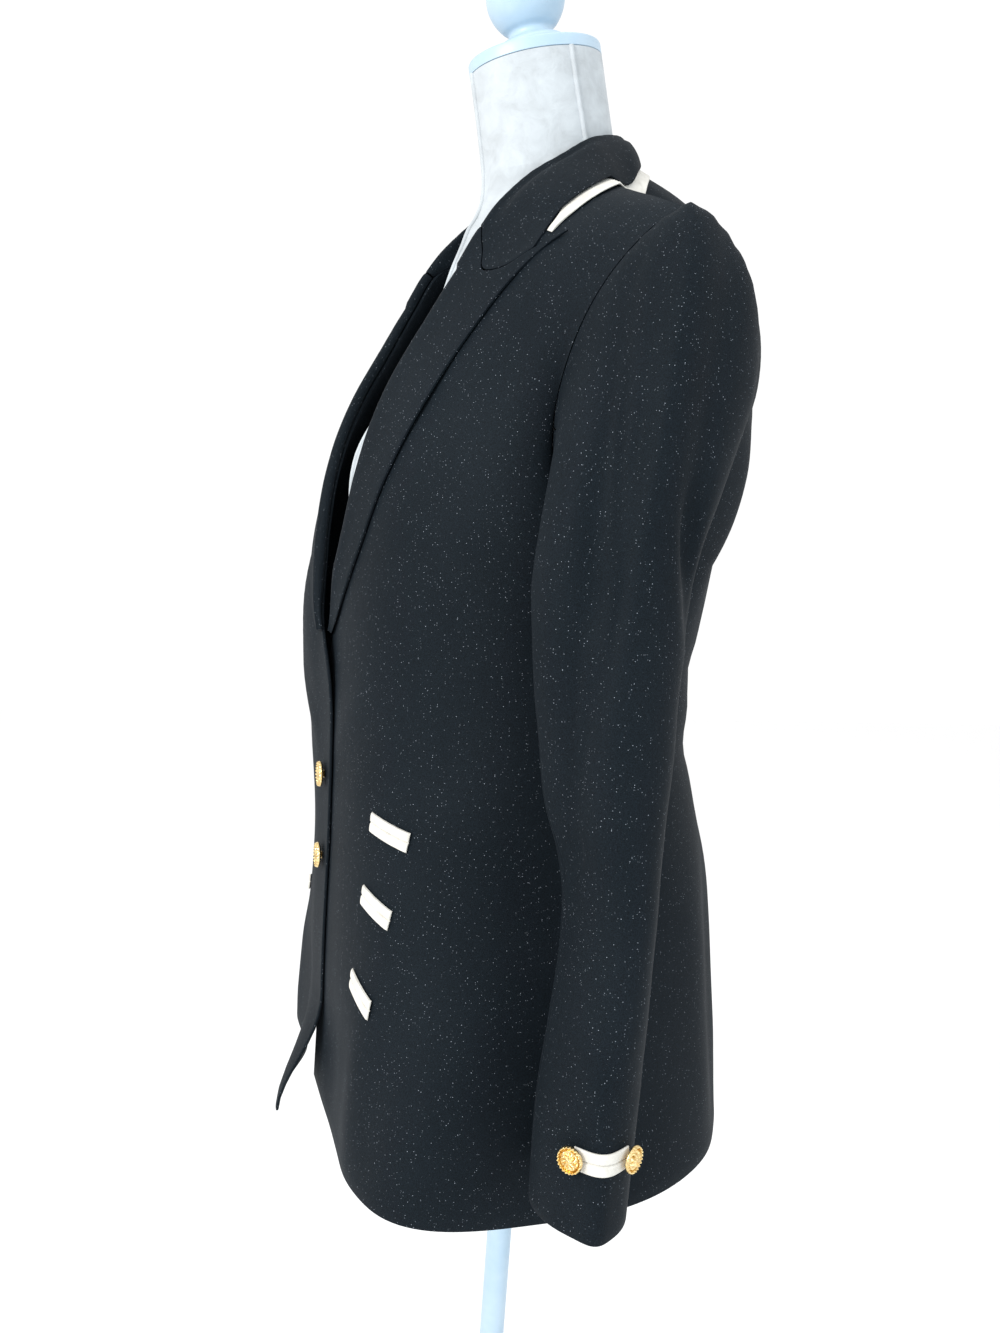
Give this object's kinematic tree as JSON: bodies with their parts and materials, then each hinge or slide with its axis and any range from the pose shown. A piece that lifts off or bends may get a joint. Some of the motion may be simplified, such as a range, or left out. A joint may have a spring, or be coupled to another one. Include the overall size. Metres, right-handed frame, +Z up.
{
  "type": "blazer on dress form",
  "caption": "Single-breasted peak-lapel blazer with white welts, contrast under-collar band and gold buttons, standing on a cream limbless dress form with a finial and a round base.",
  "frame": {"origin": "floor level, under the pole, on the centre plane", "axes": "+Z up, -Y towards the wearer's front, +X to the wearer's left"},
  "size_m": [0.5578, 0.3558, 1.6181],
  "materials": {
    "black_crepe": "matt near-black crepe",
    "white_trim": "matt ivory satin-back crepe",
    "gold": "polished gold tone with relief",
    "cream_velvet": "crushed cream velvet",
    "white_paint": "satin white paint"
  },
  "bodies": {
    "root": {"back_left": "black_crepe", "back_right": "black_crepe", "base": "white_paint", "button_lower": "gold", "button_upper": "gold", "collar": "black_crepe", "collar_band": "white_trim", "cuff_button_back_left": "gold", "cuff_button_back_right": "gold", "cuff_button_front_left": "gold", "cuff_button_front_right": "gold", "cuff_tab_left": "white_trim", "cuff_tab_right": "white_trim", "finial": "white_paint", "form_torso": "cream_velvet", "front_left": "black_crepe", "front_right": "black_crepe", "lapel_left": "black_crepe", "lapel_right": "black_crepe", "neck_cap": "white_paint", "pole": "white_paint", "under_sleeve_left": "black_crepe", "under_sleeve_right": "black_crepe", "upper_sleeve_left": "black_crepe", "upper_sleeve_right": "black_crepe", "welt_left_1": "white_trim", "welt_left_2": "white_trim", "welt_left_3": "white_trim", "welt_right_1": "white_trim", "welt_right_2": "white_trim", "welt_right_3": "white_trim"}
  },
  "joints": []
}
